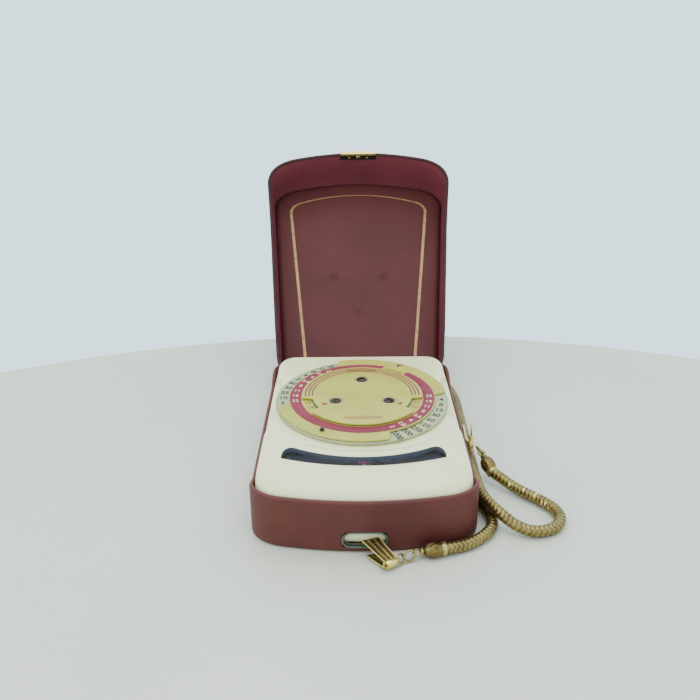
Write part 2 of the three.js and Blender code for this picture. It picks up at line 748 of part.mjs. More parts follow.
// Bell-shaped end cap, its mouth at the origin and its eye at +X.
function endCap() {
  const profile = [
    [0, 0],
    [1.75, 0],
    [2.05, 0.8],
    [2.15, 2],
    [1.75, 3.6],
    [1.05, 4.8],
    [0.8, 5.3],
    [0, 5.3],
  ];
  const geometry = new THREE.LatheGeometry(profile.map(([r, h]) => new THREE.Vector2(r, h)), 20);
  geometry.rotateZ(-Math.PI / 2);
  return geometry;
}

// Front clip: its jaw reaches into the slot of the tray.
const frontClip = placed(6.3, FRONT_Y - 6.5, 1.8, 127);
addClip({
  side: 'front',
  holder: frontClip,
  upper: [[0.3, -1.7], [7.9, -2.2], [9.3, 2.3], [0.3, 1.7]],
  upperTilt: 11,
  lower: [[0.3, -1.7], [5.6, -2.1], [7.3, 2.2], [0.3, 1.7]],
  ballEnd: 1,
});

// Rear clip: standing on edge against the tray, on the doubled chain.
const rearClip = placed(31, -2.4, 9.3, 90, 90);
addClip({
  side: 'rear',
  holder: rearClip,
  upper: [[0.3, -1.7], [9, -2.1], [9.3, 2.1], [0.3, 1.7]],
  upperTilt: 4,
  lower: [[0.3, -1.7], [7.6, -2.1], [7.9, 2.1], [0.3, 1.7]],
  ballEnd: 1,
});

const frontRing = placed(10.6, FRONT_Y - 4.6, 2.1, 20);
add(frontRing, 'front_ring', wireRing(1.5, 0.3, 78, 12), brass);
const frontCap = placed(19.3, FRONT_Y - 1.4, 2.2, 190);
add(frontCap, 'front_end_cap', endCap(), brass);

const rearRing = placed(33.5, -2.9, 8.0, 110);
add(rearRing, 'rear_ring', wireRing(1.35, 0.3, 60, 10), brass);
const rearCap = placed(36.7, -8, 4.2, 112);
const rearCapBell = endCap();
rearCapBell.rotateY(-THREE.MathUtils.degToRad(22));
add(rearCap, 'rear_end_cap', rearCapBell, brass);

// Snake chain: round the tray's front corner, along its side, a loop behind it, back on top of itself,
// over its own first stretch and out into the loose loop on the right.
const CHAIN_ROUTE = [
  [19.85, -41.8, 2.1], [25.4, -39.8, 1.7], [28.6, -37.9, 1.68], [31.5, -35.3, 1.68],
  [33.6, -32.2, 1.68], [34.3, -28.6, 1.68], [33.7, -24.6, 1.68], [32.5, -20.5, 1.68],
  [31.85, -15, 1.68], [31.25, 4, 1.68], [30.75, 24, 1.68], [30.3, 35.3, 1.68],
  [28.1, 40.7, 1.68], [23, 43.6, 1.68], [17, 44.2, 1.68], [11.6, 46.4, 1.68],
  [9.2, 51.6, 1.68], [11.2, 57, 1.68], [16.4, 59.4, 1.68], [21.8, 58, 1.7],
  [25.4, 53.6, 1.8], [27.3, 48, 3.1], [28.8, 42.6, 4.8], [30.1, 36.6, 5.1],
  [30.7, 31, 5.1], [30.75, 24, 5.1], [31.15, 4, 5.1], [31.55, -15, 5.1],
  [32.2, -20.8, 5.1], [33.7, -25.8, 5.12], [36.3, -29.9, 4.5], [39.6, -32.7, 3.05],
  [43.4, -34, 1.95], [47.2, -33.9, 1.75], [50.7, -32, 1.7], [52.6, -28.3, 1.7],
  [51.9, -24, 1.75], [49.1, -20.2, 1.8], [43.2, -14.5, 2.1], [37.05, -8.75, 3.9],
];
add(group, 'snake_chain', bar(CHAIN_ROUTE, CHAIN_DIAMETER / 2, 8, 78), brass);

export default group;
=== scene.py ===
"""Selenium light meter in its leather ever-ready case: the visible pieces round the fixed CAD frame."""
import json
import math

import bmesh
import bpy
from mathutils import Matrix, Vector


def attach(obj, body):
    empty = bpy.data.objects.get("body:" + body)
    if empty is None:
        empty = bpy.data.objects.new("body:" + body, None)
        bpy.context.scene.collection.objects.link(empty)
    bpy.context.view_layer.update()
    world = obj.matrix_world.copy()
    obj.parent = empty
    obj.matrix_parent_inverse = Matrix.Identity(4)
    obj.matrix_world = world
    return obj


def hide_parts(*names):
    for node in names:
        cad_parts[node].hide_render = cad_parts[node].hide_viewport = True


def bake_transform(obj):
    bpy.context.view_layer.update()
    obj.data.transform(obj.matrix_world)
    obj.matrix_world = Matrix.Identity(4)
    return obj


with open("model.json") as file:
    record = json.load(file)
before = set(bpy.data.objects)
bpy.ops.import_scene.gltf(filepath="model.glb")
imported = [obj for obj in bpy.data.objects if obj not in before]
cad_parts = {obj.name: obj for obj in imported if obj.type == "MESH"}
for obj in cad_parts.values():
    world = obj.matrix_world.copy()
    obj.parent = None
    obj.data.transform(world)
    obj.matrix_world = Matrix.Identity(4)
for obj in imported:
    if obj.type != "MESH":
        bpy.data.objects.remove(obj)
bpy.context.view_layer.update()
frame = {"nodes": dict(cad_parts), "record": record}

MM = 0.001
FRONT_Y = -40.5
REAR_Y = 40.5
HALF_FRONT = 30
HALF_REAR = 28.3
ARCH = 99
METER_GAP = 0.3
LEATHER = 1.15
TRAY_HEIGHT = 15.6
TRAY_SIDE_HEIGHT = 13.2
PARTING = 8.6
DECK = 18.4
DIAL_Y = 6.9
HINGE_Y = 40.2
HINGE_Z = 14.1
LID_OPEN = math.radians(143)
LID_TOP = 25.4
LID_GAP = 0.9
CHAIN_DIAMETER = 3.2


# ---- Camera --------------------------------------------------------------------------------------

CAMERA_PLACE = (-3.44, -237.66, 150.6)
CAMERA_PITCH = 0.43985
CAMERA_ROLL = -0.008
CAMERA_LENS = 48.49


def make_camera():
    data = bpy.data.cameras.new("camera")
    data.lens = CAMERA_LENS
    data.sensor_width = 36
    data.clip_start = 0.005
    data.clip_end = 20
    camera = bpy.data.objects.new("camera", data)
    bpy.context.scene.collection.objects.link(camera)
    turn = Matrix.Rotation(math.pi / 2 - CAMERA_PITCH, 4, "X") @ Matrix.Rotation(CAMERA_ROLL, 4, "Z")
    camera.matrix_world = Matrix.Translation(Vector(CAMERA_PLACE) * MM) @ turn
    bpy.context.scene.camera = camera


make_camera()


# ---- Materials -----------------------------------------------------------------------------------


def linear(rgb):
    """A colour given as 0-255 screen values, in linear light."""
    values = []
    for c in rgb:
        c = c / 255
        values.append(c / 12.92 if c <= 0.04045 else ((c + 0.055) / 1.055) ** 2.4)
    return (*values, 1)


GRAIN_DEPTH = 0.0001


def surface(name, color, rough, metallic=0.0, second=None, blotch=90, grain=900, bump=0.1, cells=0,
            edge_wear_and_highlight=None, crevice_shade=None, coat=0.0, alpha=1.0, specular=0.5):
    """A procedural surface: two tones blended by noise, fine grain, a lighter tone on sharp edges that is
    part wear and part painted highlight, and painted shade darkening the crevices.

    blotch, grain and cells are how many spots of each kind fit in a metre, roughly.
    """
    material = bpy.data.materials.new(name)
    material.use_nodes = True
    nodes = material.node_tree.nodes
    links = material.node_tree.links
    shader = nodes["Principled BSDF"]
    shader.inputs["Metallic"].default_value = metallic
    shader.inputs["Coat Weight"].default_value = coat
    shader.inputs["Alpha"].default_value = alpha
    shader.inputs["Specular IOR Level"].default_value = specular
    place = nodes.new("ShaderNodeTexCoord").outputs["Object"]

    def noise(scale, detail):
        node = nodes.new("ShaderNodeTexNoise")
        node.inputs["Scale"].default_value = scale
        node.inputs["Detail"].default_value = detail
        links.new(place, node.inputs["Vector"])
        return node.outputs["Fac"]

    def blend_in(amount, first, other):
        mix = nodes.new("ShaderNodeMix")
        mix.data_type = "RGBA"
        links.new(amount, mix.inputs["Factor"])
        for socket, value in ((mix.inputs["A"], first), (mix.inputs["B"], other)):
            if isinstance(value, tuple):
                socket.default_value = value
            else:
                links.new(value, socket)
        return mix.outputs["Result"]

    def spread(value, low, high, to_low=0.0, to_high=1.0):
        node = nodes.new("ShaderNodeMapRange")
        node.inputs["From Min"].default_value = low
        node.inputs["From Max"].default_value = high
        node.inputs["To Min"].default_value = to_low
        node.inputs["To Max"].default_value = to_high
        links.new(value, node.inputs["Value"])
        return node.outputs["Result"]

    coarse = noise(blotch, 5)
    color_out = blend_in(spread(coarse, 0.35, 0.65), linear(color), linear(second or color))
    if edge_wear_and_highlight or crevice_shade:
        edge = nodes.new("ShaderNodeNewGeometry").outputs["Pointiness"]
        if edge_wear_and_highlight:
            # Lighter tone on sharp convex edges: part real wear, part painted highlight.
            color_out = blend_in(spread(edge, 0.52, 0.6), color_out, linear(edge_wear_and_highlight))
        # Painted shade: concave creases, where Pointiness is low, are darkened to the crevice colour.
        if crevice_shade:
            color_out = blend_in(spread(edge, 0.49, 0.42), color_out, linear(crevice_shade))
    links.new(color_out, shader.inputs["Base Color"])
    fine = noise(grain, 3)
    links.new(spread(fine, 0.3, 0.7, max(rough - 0.06, 0.02), rough + 0.08), shader.inputs["Roughness"])
    height = fine
    if cells:
        pebble = nodes.new("ShaderNodeTexVoronoi")
        pebble.inputs["Scale"].default_value = cells
        links.new(place, pebble.inputs["Vector"])
        total = nodes.new("ShaderNodeMath")
        links.new(pebble.outputs["Distance"], total.inputs[0])
        links.new(fine, total.inputs[1])
        height = total.outputs["Value"]
    dents = nodes.new("ShaderNodeBump")
    dents.inputs["Strength"].default_value = bump
    dents.inputs["Distance"].default_value = GRAIN_DEPTH
    links.new(height, dents.inputs["Height"])
    links.new(dents.outputs["Normal"], shader.inputs["Normal"])
    return material


# The crevice colours below are painted shade for creases; the lighter edge colours are part real wear and
# part painted highlight.
looks = {
    "leather": surface("leather", (88, 38, 30), 0.52, second=(76, 30, 25), blotch=70, grain=1800, bump=0.25,
                       cells=2600, edge_wear_and_highlight=(112, 56, 48), crevice_shade=(52, 22, 22), specular=0.3),
    "pad_leather": surface("pad_leather", (84, 37, 33), 0.6, second=(76, 32, 30), blotch=50, grain=2200,
                           bump=0.16, cells=3400, specular=0.18),
    "leather_edge": surface("leather_edge", (66, 30, 28), 0.6, second=(52, 24, 22), grain=3000, bump=0.2,
                            specular=0.2),
    "lining": surface("lining", (120, 52, 60), 0.55, second=(108, 46, 54), blotch=60, grain=2200, bump=0.15,
                      specular=0.3),
    "felt": surface("felt", (84, 34, 40), 0.95, second=(70, 28, 34), grain=4000, bump=0.5, specular=0.1),
    "ivory_plastic": surface("ivory_plastic", (240, 231, 180), 0.2, second=(236, 224, 168), blotch=35,
                             grain=500, bump=0.02, coat=0.2),
    "dial_metal": surface("dial_metal", (190, 176, 70), 0.45, 0.2, second=(180, 166, 66), blotch=160,
                          grain=5000, bump=0.12),
    "scale_metal": surface("scale_metal", (176, 174, 126), 0.48, 0.15, second=(162, 160, 114), blotch=140,
                           grain=5000, bump=0.12, crevice_shade=(86, 80, 50)),
    "brass": surface("brass", (128, 106, 54), 0.32, 0.85, second=(92, 72, 38), blotch=420, grain=3000,
                     bump=0.2, edge_wear_and_highlight=(226, 204, 128), crevice_shade=(38, 30, 20)),
    "bright_brass": surface("bright_brass", (226, 204, 116), 0.26, 0.85, second=(190, 160, 84), blotch=500,
                            grain=3000, bump=0.15),
    "dark_metal": surface("dark_metal", (66, 60, 50), 0.4, 0.7, second=(44, 40, 34), blotch=900,
                          grain=3000, bump=0.15),
    "nickel": surface("nickel", (52, 58, 52), 0.38, 0.8, second=(34, 40, 36), blotch=500, grain=2500,
                      bump=0.15, edge_wear_and_highlight=(120, 130, 116)),
    "clear": surface("clear", (104, 98, 112), 0.05, second=(96, 90, 108), bump=0.01, alpha=0.1),
    "slate_paint": surface("slate_paint", (88, 88, 94), 0.6, second=(76, 76, 84), grain=3000, bump=0.1),
    "white_paint": surface("white_paint", (250, 250, 246), 0.5, second=(240, 240, 234), bump=0.05),
    "selenium": surface("selenium", (44, 44, 50), 0.35, 0.3, second=(34, 34, 40), blotch=300, bump=0.1),
    "magnet_alloy": surface("magnet_alloy", (96, 98, 102), 0.45, 0.8, second=(78, 80, 86), bump=0.2),
    "copper": surface("copper", (168, 100, 60), 0.35, 0.85, second=(140, 80, 50), blotch=300, bump=0.15),
    "red_ink": surface("red_ink", (136, 44, 60), 0.5, second=(122, 36, 52), blotch=200, bump=0.08,
                       specular=0.3),
    "black_ink": surface("black_ink", (14, 15, 14), 0.55, second=(26, 28, 26), blotch=900, bump=0.05),
    "pale_ink": surface("pale_ink", (236, 222, 172), 0.5, second=(220, 204, 152), blotch=900, bump=0.05),
    "gold_foil": surface("gold_foil", (158, 122, 66), 0.42, 0.3, second=(132, 96, 54), blotch=900,
                         bump=0.3),
}


# ---- Mesh building -------------------------------------------------------------------------------


def piece(name, points, faces, look, body, smooth=45, replaces=()):
    """A mesh in millimetres of the row frame, riding on a body."""
    mesh = bpy.data.meshes.new(name)
    mesh.from_pydata([Vector(p) * MM for p in points], [], faces)
    mesh.materials.append(looks[look])
    obj = bpy.data.objects.new(name, mesh)
    bpy.context.scene.collection.objects.link(obj)
    tidy(obj, smooth)
    if body:
        register(obj, body, replaces)
    return obj


def register(obj, body, replaces=()):
    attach(obj, body)
    if replaces:
        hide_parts(*replaces)


def tidy(obj, smooth):
    """Normals out, smooth faces, and creases kept where the surface turns by more than smooth degrees."""
    data = bmesh.new()
    data.from_mesh(obj.data)
    bmesh.ops.remove_doubles(data, verts=data.verts, dist=1e-7)
    bmesh.ops.recalc_face_normals(data, faces=data.faces)
    for face in data.faces:
        face.smooth = True
    limit = math.radians(smooth)
    for edge in data.edges:
        edge.smooth = len(edge.link_faces) == 2 and edge.calc_face_angle(0) < limit
    data.to_mesh(obj.data)
    data.free()


def apply_modifiers(obj, smooth=45):
    depsgraph = bpy.context.evaluated_depsgraph_get()
    depsgraph.update()
    mesh = bpy.data.meshes.new_from_object(obj.evaluated_get(depsgraph))
    obj.modifiers.clear()
    obj.data = mesh
    tidy(obj, smooth)


def cut(obj, *tools, edge=0.0, smooth=35):
    """Cut the tools out of obj and round the edges left by the width edge, in millimetres."""
    for tool in tools:
        modifier = obj.modifiers.new("cut", "BOOLEAN")
        modifier.object = tool
        modifier.operation = "DIFFERENCE"
        modifier.solver = "EXACT"
    if edge:
        rounding = obj.modifiers.new("edge", "BEVEL")
        rounding.width = edge * MM
        rounding.segments = 3
        rounding.limit_method = "ANGLE"
        rounding.angle_limit = math.radians(40)
    apply_modifiers(obj, smooth)
    for tool in tools:
        bpy.data.objects.remove(tool)


def loft(rings, capped=True):
    """Points and faces through rings of equal count; the first and last are closed unless capped is off."""
    count = len(rings[0])
    points = [p for ring in rings for p in ring]
    faces = []
    steps = len(rings) - (1 if capped else 0)
    for k in range(steps):
        a = k * count
        b = ((k + 1) % len(rings)) * count
        for i in range(count):
            j = (i + 1) % count
            faces.append((a + i, a + j, b + j, b + i))
    if capped:
        faces.append(tuple(reversed(range(count))))
        faces.append(tuple(range((len(rings) - 1) * count, len(rings) * count)))
    return points, faces


def revolve(profile, sides, place, knurl=None):
    """Rings round the vertical through place from (radius, height) pairs; knurl(angle) scales the radius."""
    rings = []
    for radius, z in profile:
        ring = []
        for i in range(sides):
            a = 2 * math.pi * i / sides
            r = radius * (knurl(a) if knurl else 1)
            ring.append((place[0] + r * math.cos(a), place[1] + r * math.sin(a), z))
        rings.append(ring)
    return rings


def prism(outline, z0, z1):
    return loft([[(x, y, z0) for x, y in outline], [(x, y, z1) for x, y in outline]])


def tool(outline, z0, z1):
    points, faces = prism(outline, z0, z1)
    return piece("tool", points, faces, "felt", None)


def block(x0, y0, z0, x1, y1, z1):
    return tool([(x0, y0), (x1, y0), (x1, y1), (x0, y1)], z0, z1)


def sector(centre, inner, outer, start, end, count=24):
    """Outline of part of a ring, angles in degrees."""
    def at(r, deg):
        a = math.radians(deg)
        return (centre[0] + r * math.cos(a), centre[1] + r * math.sin(a))
    angles = [start + (end - start) * i / count for i in range(count + 1)]
    return [at(outer, a) for a in angles] + [at(inner, a) for a in reversed(angles)]


# ---- Outlines ------------------------------------------------------------------------------------


def bezier(a, b, c, d, count):
    points = []
    for i in range(count + 1):
        t = i / count
        u = 1 - t
        weights = (u ** 3, 3 * u * u * t, 3 * u * t * t, t ** 3)
        points.append(tuple(sum(w * p[k] for w, p in zip(weights, (a, b, c, d))) for k in (0, 1)))
    return points


def corner(a, m, b, count):
    """A rounded corner from a to b, pulled towards m."""
    def lean(p):
        return tuple(p[k] + (m[k] - p[k]) * 0.6 for k in (0, 1))
    return bezier(a, lean(a), lean(b), b, count)


def wedge(front, rear, y_front, y_rear, arc, front_corner, rear_corner):
    """Arched front, straight sides, rounded corners, anticlockwise from the middle of the front."""
    def arc_y(x):
        return y_front + arc - math.sqrt(arc * arc - x * x)
    turn = front - front_corner
    edge_y = arc_y(turn)
    corner_y = edge_y + front_corner
    rear_x = rear - rear_corner
    half = [(turn * i / 14, arc_y(turn * i / 14)) for i in range(14)]
    half += corner((turn, edge_y), (front, edge_y + 0.25 * front_corner), (front, corner_y), 12)
    side_end = y_rear - rear_corner
    for i in range(1, 36):
        t = i / 36
        half.append((front + (rear - front) * t, corner_y + (side_end - corner_y) * t))
    half += corner((rear, side_end), (rear, y_rear), (rear_x, y_rear), 10)
    half += [(rear_x * (1 - i / 8), y_rear) for i in range(1, 9)]
    return half + [(-x, y) for x, y in reversed(half[1:-1])]


def tray_outline(inset):
    return wedge(
        HALF_FRONT - inset, HALF_REAR - inset, FRONT_Y + inset, REAR_Y - inset,
        ARCH - inset, 8 - inset, 6 - inset,
    )


def meter_outline(inset, front_inset=None):
    front_inset = inset if front_inset is None else front_inset
    base = LEATHER + METER_GAP
    return wedge(
        HALF_FRONT - base - inset, HALF_REAR - base - inset, FRONT_Y + base + front_inset,
        REAR_Y - base - inset, ARCH - base - front_inset, 8 - base + 0.4 * front_inset,
        max(2, 6 - base - 0.3 * inset),
    )


def lid_outline(inset):
    reach = REAR_Y - FRONT_Y + LID_GAP + LEATHER
    return wedge(
        28 + 0.06 * (reach - 9) - inset, 28 - inset, FRONT_Y - LID_GAP - LEATHER + inset, REAR_Y - inset,
        ARCH + LID_GAP + LEATHER - inset, 9.5 - inset, 6 - inset,
    )


def smoothstep(t):
    t = min(max(t, 0), 1)
    return t * t * (3 - 2 * t)


def opened(point):
    """A point of the closed lid, where it is with the lid folded open."""
    x, y, z = point
    dy, dz = y - HINGE_Y, z - HINGE_Z
    c, s = math.cos(LID_OPEN), math.sin(LID_OPEN)
    return (x, HINGE_Y + c * dy + s * dz, HINGE_Z - s * dy + c * dz)


# ---- Snake chain ---------------------------------------------------------------------------------

CHAIN_ROUTE = [
    (19.85, -41.8, 2.1), (25.4, -39.8, 1.7), (28.6, -37.9, 1.68), (31.5, -35.3, 1.68),
    (33.6, -32.2, 1.68), (34.3, -28.6, 1.68), (33.7, -24.6, 1.68), (32.5, -20.5, 1.68),
    (31.85, -15, 1.68), (31.25, 4, 1.68), (30.75, 24, 1.68), (30.3, 35.3, 1.68),
    (28.1, 40.7, 1.68), (23, 43.6, 1.68), (17, 44.2, 1.68), (11.6, 46.4, 1.68),
    (9.2, 51.6, 1.68), (11.2, 57, 1.68), (16.4, 59.4, 1.68), (21.8, 58, 1.7),
    (25.4, 53.6, 1.8), (27.3, 48, 3.1), (28.8, 42.6, 4.8), (30.1, 36.6, 5.1),
    (30.7, 31, 5.1), (30.75, 24, 5.1), (31.15, 4, 5.1), (31.55, -15, 5.1),
    (32.2, -20.8, 5.1), (33.7, -25.8, 5.12), (36.3, -29.9, 4.5), (39.6, -32.7, 3.05),
    (43.4, -34, 1.95), (47.2, -33.9, 1.75), (50.7, -32, 1.7), (52.6, -28.3, 1.7),
    (51.9, -24, 1.75), (49.1, -20.2, 1.8), (43.2, -14.5, 2.1), (37.05, -8.75, 3.9),
]
LINK_PITCH = 1.25
LINK_STATIONS = 8


def smooth_route(route, step):
    """Centripetal Catmull-Rom curve through the route, sampled every step."""
    knots = [Vector(p) for p in route]
    knots = [2 * knots[0] - knots[1], *knots, 2 * knots[-1] - knots[-2]]
    samples = []
    for a, b, c, d in zip(knots, knots[1:], knots[2:], knots[3:]):
        t1 = (b - a).length ** 0.5
        t2 = t1 + (c - b).length ** 0.5
        t3 = t2 + (d - c).length ** 0.5
        for i in range(60):
            t = t1 + (t2 - t1) * i / 60
            ab = a.lerp(b, t / t1)
            bc = b.lerp(c, (t - t1) / (t2 - t1))
            cd = c.lerp(d, (t - t2) / (t3 - t2))
            abc = ab.lerp(bc, t / t2)
            bcd = bc.lerp(cd, (t - t1) / (t3 - t1))
            samples.append(abc.lerp(bcd, (t - t1) / (t2 - t1)))
    samples.append(knots[-2])
    even = [samples[0]]
    travelled = 0.0
    wanted = step
    for p, q in zip(samples, samples[1:]):
        gap = (q - p).length
        while gap and travelled + gap >= wanted:
            even.append(p.lerp(q, (wanted - travelled) / gap))
            wanted += step
        travelled += gap
    return even, travelled


def make_chain(fittings):
    step = LINK_PITCH / LINK_STATIONS
    line, length = smooth_route(CHAIN_ROUTE, step)
    side = Vector((0, 0, 1))
    rings = []
    sides = 24
    for k, centre in enumerate(line):
        ahead = line[min(k + 3, len(line) - 1)] - line[max(k - 3, 0)]
        ahead.normalize()
        side = (side - ahead * side.dot(ahead)).normalized()
        other = ahead.cross(side)
        ring = []
        for i in range(sides):
            a = 2 * math.pi * i / sides
            phase = (k / LINK_STATIONS + 0.16 * math.cos(4 * a)) % 1
            radius = CHAIN_DIAMETER / 2 * (1 - 0.13 * abs(2 * phase - 1) ** 3)
            ring.append(centre + radius * (math.cos(a) * side + math.sin(a) * other))
        rings.append(ring)
    points, faces = loft(rings)
    chain = piece("chain_links", points, faces, "brass", "case", smooth=80, replaces=("snake_chain",))


def placed(points, holder):
    """Points of a fitting's own frame, where its holder puts them."""
    return [tuple(holder @ Vector(p)) for p in points]


def holder_at(x, y, z, turn, roll=0):
    """Place of a fitting: rolled about its own length, then turned about the vertical."""
    place = Matrix.Translation((x, y, z))
    return place @ Matrix.Rotation(math.radians(turn), 4, "Z") @ Matrix.Rotation(math.radians(roll), 4, "X")


def fitting(name, points, faces, holder, look="brass", replaces=()):
    return piece(name, placed(points, holder), faces, look, "case", replaces=replaces)


def turned(profile, sides, ripple=None):
    """A shape turned about its own X axis from (x, radius) pairs, closed at both ends."""
    rings = []
    for x, radius in profile:
        ring = []
        for i in range(sides):
            a = 2 * math.pi * i / sides
            r = radius * (ripple(x, a) if ripple else 1)
            ring.append((x, r * math.cos(a), r * math.sin(a)))
        rings.append(ring)
    return loft(rings)


def wire_loop(radius, wire, sides=12, steps=48):
    """A round link of wire in its own XY plane."""
    rings = []
    for k in range(steps):
        a = 2 * math.pi * k / steps
        rings.append([
            ((radius + wire * math.cos(b)) * math.cos(a), (radius + wire * math.cos(b)) * math.sin(a),
             wire * math.sin(b))
            for b in (2 * math.pi * i / sides for i in range(sides))
        ])
    return loft(rings, capped=False)


def make_end_cap(name, holder, node):
    """Collar round the chain, bell with engraved petals, a bead and an eye of wire."""
    collar = [(-1.3, 1.5), (-1.3, 1.72), (-1.15, 1.84), (-0.2, 1.84), (-0.1, 1.74), (0.2, 1.78), (0.9, 1.98)]
    belly = []
    for k in range(1, 15):
        t = k / 14
        belly.append((0.9 + 2.7 * t, 1.98 + 0.2 * math.sin(math.pi * t) - 0.28 * t * t))
    bead = [(4.0, 1.35), (4.3, 1.0), (4.45, 0.8), (4.6, 0.86), (4.9, 1.0), (5.2, 0.86), (5.35, 0.5)]

    def petals(x, a):
        deep = 0.055 if 0.9 < x < 3.7 else 0
        return 1 - deep * abs(math.cos(3.5 * a + 0.5 * x)) ** 8 - 0.4 * deep * abs(math.cos(10.5 * a)) ** 4
    points, faces = turned(collar + belly + bead, 84, petals)
    cap = fitting(name, points, faces, holder, replaces=(node,))
    points, faces = wire_loop(0.95, 0.27)
    eye = fitting(f"{name}_eye", points, faces, holder @ Matrix.Translation((6.3, 0, 0)))
    return [cap, eye]


LEAF = 0.36


def make_leaf(name, holder, outline, tilt, lift, body, node, hole=True):
    """Spring leaf, LEAF thick, with ribs along it and maybe a small hole near its free end."""
    (x0, a0), (x1, a1), (x2, a2), (_, a3) = outline
    across = 28
    rings = []
    for k in range(25):
        t = k / 24
        top = []
        bottom = []
        for i in range(across + 1):
            v = i / across
            start = (x0, a0 + (a3 - a0) * v)
            end = (x1 + (x2 - x1) * v, a1 + (a2 - a1) * v)
            x = start[0] + (end[0] - start[0]) * t
            y = start[1] + (end[1] - start[1]) * t
            rib = 0.16 * max(math.cos(2 * math.pi * 3 * v), 0) ** 3
            top.append((x, y, lift + LEAF + rib))
            bottom.append((x, y, lift))
        rings.append(top + bottom[::-1])
    points, faces = loft(rings)
    turn = holder @ Matrix.Rotation(-math.radians(tilt), 4, "Y")
    leaf = piece(name, placed(points, turn), faces, "brass", None)
    if hole:
        points, faces = loft(revolve([(0.55, lift - 1), (0.55, lift + 2)], 24, (x1 - 1.7, 0)))
        cut(leaf, piece("tool", placed(points, turn), faces, "felt", None), smooth=40)
    register(leaf, body, (node,))
    return leaf


def make_clip(side, holder, upper, tilt, lower):
    """Spring clip: jaw and base leaves, a bright barrel over the spring, and a pin with a ball."""
    parts = [
        make_leaf(f"{side}_jaw_leaf", holder, upper, tilt, 0.75, f"{side}_clip_jaw", f"{side}_clip_jaw"),
        make_leaf(f"{side}_base_leaf", holder, lower, 0, -1.25, "case", f"{side}_clip_base", hole=False),
    ]
    sideways = holder @ Matrix.Rotation(math.radians(90), 4, "Z")
    barrel = [(-1.6, 0.8), (-1.6, 1.05), (-1.5, 1.15), (1.5, 1.15), (1.6, 1.05), (1.6, 0.8)]
    points, faces = turned(barrel, 40)
    parts.append(fitting(f"{side}_barrel", points, faces, sideways, look="bright_brass",
                         replaces=(f"{side}_clip_spring",)))
    pin = [(-2.5, 0.2), (-2.45, 0.34), (2.0, 0.34)]
    pin += [(2.5 - 0.62 * math.cos(a), max(0.62 * math.sin(a), 0.34 if a < 1 else 0.05))
            for a in (math.pi * k / 10 for k in range(2, 11))]
    points, faces = turned(pin, 24)
    parts.append(fitting(f"{side}_hinge_pin", points, faces, sideways, replaces=(f"{side}_clip_pin",)))
    return parts


def make_fittings():
    """The pieces on the chain's two ends: clips, end caps and the rings that join them."""
    front = holder_at(6.3, FRONT_Y - 6.5, 1.8, 127)
    rear = holder_at(31, -2.4, 9.3, 90, 90)
    parts = make_clip("front", front, [(0.3, -1.7), (7.9, -2.2), (9.3, 2.3), (0.3, 1.7)], 11,
                      [(0.3, -1.7), (5.6, -2.1), (7.3, 2.2), (0.3, 1.7)])
    parts += make_clip("rear", rear, [(0.3, -1.7), (9, -2.1), (9.3, 2.1), (0.3, 1.7)], 4,
                       [(0.3, -1.7), (7.6, -2.1), (7.9, 2.1), (0.3, 1.7)])
    cap_turn = Matrix.Rotation(math.radians(-22), 4, "Y")
    parts += make_end_cap("front_bell", holder_at(19.3, FRONT_Y - 1.4, 2.2, 190), "front_end_cap")
    parts += make_end_cap("rear_bell", holder_at(36.7, -8, 4.2, 112) @ cap_turn, "rear_end_cap")
    links = (
        ("front_link", 1.45, (11.2, -44.3, 2.0), (78, 12, 20), ("front_ring",)),
        ("front_pin_link", 1.15, (8.9, -45.3, 1.9), (64, -20, 62), ()),
        ("rear_link", 1.35, (33.85, -3.2, 7.9), (60, 10, 110), ("rear_ring",)),
    )
    for name, radius, place, (tilt_x, tilt_y, turn), nodes in links:
        holder = holder_at(*place, turn)
        holder = holder @ Matrix.Rotation(math.radians(tilt_y), 4, "Y")
        holder = holder @ Matrix.Rotation(math.radians(tilt_x), 4, "X")
        points, faces = wire_loop(radius, 0.3)
        parts.append(fitting(name, points, faces, holder, replaces=nodes))
    return parts


make_chain(make_fittings())


# ---- Leather tray --------------------------------------------------------------------------------


def at_height(outline, z):
    return [(x, y, z) for x, y in outline]


def tray_rim(y):
    """The rim is high at the front and at the hinge, and dips along the sides."""
    rise = TRAY_HEIGHT - TRAY_SIDE_HEIGHT
    return TRAY_SIDE_HEIGHT + rise * (smoothstep((y - 27) / 6) + smoothstep((-23.5 - y) / 8.5))


def make_tray():
    foot = [(2.4, 0.0), (1.0, 0.05), (0.5, 0.3), (0.15, 0.8), (0.0, 1.4)]
    lip = [(0.06, -0.5), (0.25, -0.15), (0.55, 0.0), (0.85, -0.1), (1.08, -0.45), (LEATHER, -1.0)]
    floor = [(LEATHER, 2.2), (1.4, 1.6), (2.2, 1.42)]
    rings = [at_height(tray_outline(inset), z) for inset, z in foot]
    for share in (0.04, 0.2, 0.38, 0.45, 0.55, 0.7, 0.85, 1.0):
        rings.append([(x, y, 1.4 + (tray_rim(y) - 2.5) * share) for x, y in tray_outline(0)])
    rings += [[(x, y, tray_rim(y) + drop) for x, y in tray_outline(inset)] for inset, drop in lip]
    rings += [at_height(tray_outline(inset), z) for inset, z in floor]
    points, faces = loft(rings)
    tray = piece("leather_tray", points, faces, "leather", None)
    cut(tray, block(-5.72, FRONT_Y - 3, 1.95, 5.72, FRONT_Y + 1.8, 6.25))
    register(tray, "case", ("case_tray",))


def rounded_slot(half_x, half_z, count=8):
    """Outline with round ends, centred on the slot, as (x, z) offsets."""
    points = []
    for sign in (1, -1):
        for i in range(count + 1):
            a = math.pi * (i / count - 0.5)
            points.append((sign * (half_x - half_z + half_z * math.cos(a)), sign * half_z * math.sin(a)))
    return points


